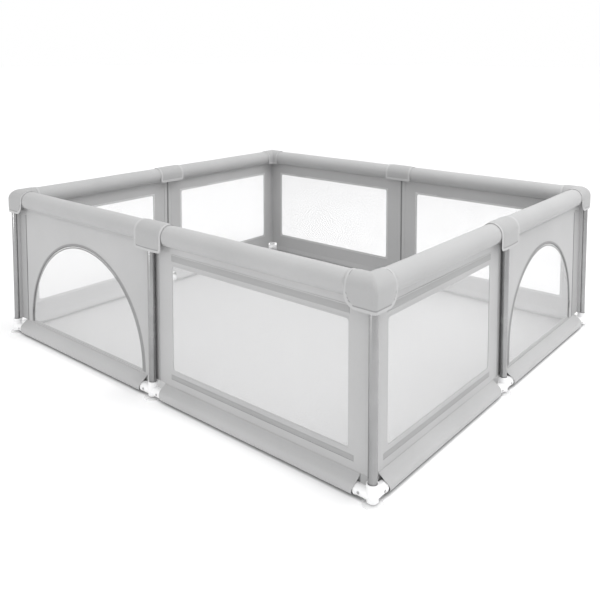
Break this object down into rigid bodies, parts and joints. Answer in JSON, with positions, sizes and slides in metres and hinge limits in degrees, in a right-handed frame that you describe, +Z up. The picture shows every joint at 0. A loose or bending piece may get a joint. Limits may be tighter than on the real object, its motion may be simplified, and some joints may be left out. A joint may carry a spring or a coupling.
{
  "type": "playpen",
  "caption": "Rectangular padded playpen with netting windows and zipped arch doors, on suction-cup feet.",
  "frame": {"origin": "on the floor, under the middle of the rectangle", "axes": "+X along the long side, +Y from the front wall to the back wall, +Z up"},
  "size_m": [2.006, 1.786, 0.6525],
  "materials": {
    "steel_tube": "satin",
    "white_plastic": "satin",
    "hidden_plastic": "matte",
    "clear_rubber": "translucent",
    "foam": "matte",
    "grey_fabric": "matte",
    "padded_cover": "matte",
    "netting": "open netting",
    "zip_teeth": "satin",
    "zip_metal": "satin",
    "button_metal": "satin"
  },
  "bodies": {
    "frame": {"foot_front_left": "white_plastic", "post_front_left": "steel_tube", "foot_front_right": "white_plastic", "post_front_right": "steel_tube", "foot_back_right": "white_plastic", "post_back_right": "steel_tube", "foot_back_left": "white_plastic", "post_back_left": "steel_tube", "foot_front_mid": "white_plastic", "post_front_mid": "steel_tube", "bottom_rails_front": "steel_tube", "rail_pad_front": "foam", "wall_front": "grey_fabric", "foot_right_mid": "white_plastic", "post_right_mid": "steel_tube", "bottom_rails_right": "steel_tube", "rail_pad_right": "foam", "wall_right": "grey_fabric", "foot_back_mid": "white_plastic", "post_back_mid": "steel_tube", "bottom_rails_back": "steel_tube", "rail_pad_back": "foam", "wall_back": "grey_fabric", "foot_left_mid": "white_plastic", "post_left_mid": "steel_tube", "bottom_rails_left": "steel_tube", "rail_pad_left": "foam", "wall_left": "grey_fabric", "top_rails_long": "steel_tube", "top_rails_short": "steel_tube", "top_elbows": "hidden_plastic", "top_tees": "hidden_plastic", "suction_cups": "clear_rubber", "corner_covers": "padded_cover", "mid_covers": "padded_cover", "mesh_windows": "netting", "zip_chains": "zip_teeth", "button_clips": "button_metal"},
    "front_door": {"door_flap_front": "netting"},
    "right_door": {"door_flap_right": "netting"},
    "front_zip_slider": {"zip_slider_front": "zip_metal"},
    "right_zip_slider": {"zip_slider_right": "zip_metal"},
    "front_zip_pull": {"zip_pull_front": "zip_metal"},
    "right_zip_pull": {"zip_pull_right": "zip_metal"},
    "front_button_1": {"rail_button_front_1": "button_metal"},
    "front_button_2": {"rail_button_front_2": "button_metal"},
    "front_button_3": {"rail_button_front_3": "button_metal"},
    "front_button_4": {"rail_button_front_4": "button_metal"},
    "right_button_1": {"rail_button_right_1": "button_metal"},
    "right_button_2": {"rail_button_right_2": "button_metal"},
    "right_button_3": {"rail_button_right_3": "button_metal"},
    "right_button_4": {"rail_button_right_4": "button_metal"},
    "back_button_1": {"rail_button_back_1": "button_metal"},
    "back_button_2": {"rail_button_back_2": "button_metal"},
    "back_button_3": {"rail_button_back_3": "button_metal"},
    "back_button_4": {"rail_button_back_4": "button_metal"},
    "left_button_1": {"rail_button_left_1": "button_metal"},
    "left_button_2": {"rail_button_left_2": "button_metal"},
    "left_button_3": {"rail_button_left_3": "button_metal"},
    "left_button_4": {"rail_button_left_4": "button_metal"}
  },
  "joints": [
    {"name": "arch_door_front_fold", "type": "hinge", "parent": "frame", "child": "front_door", "pos_m": [-0.466, -0.8445, 0.0685], "axis": [1, 0, 0], "range_deg": [0, 90]},
    {"name": "arch_door_right_fold", "type": "hinge", "parent": "frame", "child": "right_door", "pos_m": [0.9545, 0.405, 0.0685], "axis": [0, 1, 0], "range_deg": [0, 90]},
    {"name": "arch_zip_front_travel", "type": "hinge", "parent": "frame", "child": "front_zip_slider", "pos_m": [-0.466, -0.8435, 0.078], "axis": [0, 1, 0], "range_deg": [-3, 165]},
    {"name": "arch_zip_right_travel", "type": "hinge", "parent": "frame", "child": "right_zip_slider", "pos_m": [0.9535, 0.405, 0.146], "axis": [1, 0, 0], "range_deg": [0, 180]},
    {"name": "zip_pull_front_flip", "type": "hinge", "parent": "front_zip_slider", "child": "front_zip_pull", "pos_m": [-0.85617, -0.84945, 0.13283], "axis": [-0.9903, 0, 0.1392], "range_deg": [0, 150]},
    {"name": "zip_pull_right_flip", "type": "hinge", "parent": "right_zip_slider", "child": "right_zip_pull", "pos_m": [0.95945, 0.73, 0.146], "axis": [0, -1, 0], "range_deg": [0, 150]},
    {"name": "rail_button_front_1_press", "type": "slide", "parent": "frame", "child": "front_button_1", "axis": [0, 1, 0], "range_m": [0, 0.0055], "stiffness_N_per_m": 800, "springref_m": -0.003},
    {"name": "rail_button_front_2_press", "type": "slide", "parent": "frame", "child": "front_button_2", "axis": [0, 1, 0], "range_m": [0, 0.0055], "stiffness_N_per_m": 800, "springref_m": -0.003},
    {"name": "rail_button_front_3_press", "type": "slide", "parent": "frame", "child": "front_button_3", "axis": [0, 1, 0], "range_m": [0, 0.0055], "stiffness_N_per_m": 800, "springref_m": -0.003},
    {"name": "rail_button_front_4_press", "type": "slide", "parent": "frame", "child": "front_button_4", "axis": [0, 1, 0], "range_m": [0, 0.0055], "stiffness_N_per_m": 800, "springref_m": -0.003},
    {"name": "rail_button_right_1_press", "type": "slide", "parent": "frame", "child": "right_button_1", "axis": [-1, 0, 0], "range_m": [0, 0.0055], "stiffness_N_per_m": 800, "springref_m": -0.003},
    {"name": "rail_button_right_2_press", "type": "slide", "parent": "frame", "child": "right_button_2", "axis": [-1, 0, 0], "range_m": [0, 0.0055], "stiffness_N_per_m": 800, "springref_m": -0.003},
    {"name": "rail_button_right_3_press", "type": "slide", "parent": "frame", "child": "right_button_3", "axis": [-1, 0, 0], "range_m": [0, 0.0055], "stiffness_N_per_m": 800, "springref_m": -0.003},
    {"name": "rail_button_right_4_press", "type": "slide", "parent": "frame", "child": "right_button_4", "axis": [-1, 0, 0], "range_m": [0, 0.0055], "stiffness_N_per_m": 800, "springref_m": -0.003},
    {"name": "rail_button_back_1_press", "type": "slide", "parent": "frame", "child": "back_button_1", "axis": [0, -1, 0], "range_m": [0, 0.0055], "stiffness_N_per_m": 800, "springref_m": -0.003},
    {"name": "rail_button_back_2_press", "type": "slide", "parent": "frame", "child": "back_button_2", "axis": [0, -1, 0], "range_m": [0, 0.0055], "stiffness_N_per_m": 800, "springref_m": -0.003},
    {"name": "rail_button_back_3_press", "type": "slide", "parent": "frame", "child": "back_button_3", "axis": [0, -1, 0], "range_m": [0, 0.0055], "stiffness_N_per_m": 800, "springref_m": -0.003},
    {"name": "rail_button_back_4_press", "type": "slide", "parent": "frame", "child": "back_button_4", "axis": [0, -1, 0], "range_m": [0, 0.0055], "stiffness_N_per_m": 800, "springref_m": -0.003},
    {"name": "rail_button_left_1_press", "type": "slide", "parent": "frame", "child": "left_button_1", "axis": [1, 0, 0], "range_m": [0, 0.0055], "stiffness_N_per_m": 800, "springref_m": -0.003},
    {"name": "rail_button_left_2_press", "type": "slide", "parent": "frame", "child": "left_button_2", "axis": [1, 0, 0], "range_m": [0, 0.0055], "stiffness_N_per_m": 800, "springref_m": -0.003},
    {"name": "rail_button_left_3_press", "type": "slide", "parent": "frame", "child": "left_button_3", "axis": [1, 0, 0], "range_m": [0, 0.0055], "stiffness_N_per_m": 800, "springref_m": -0.003},
    {"name": "rail_button_left_4_press", "type": "slide", "parent": "frame", "child": "left_button_4", "axis": [1, 0, 0], "range_m": [0, 0.0055], "stiffness_N_per_m": 800, "springref_m": -0.003}
  ]
}
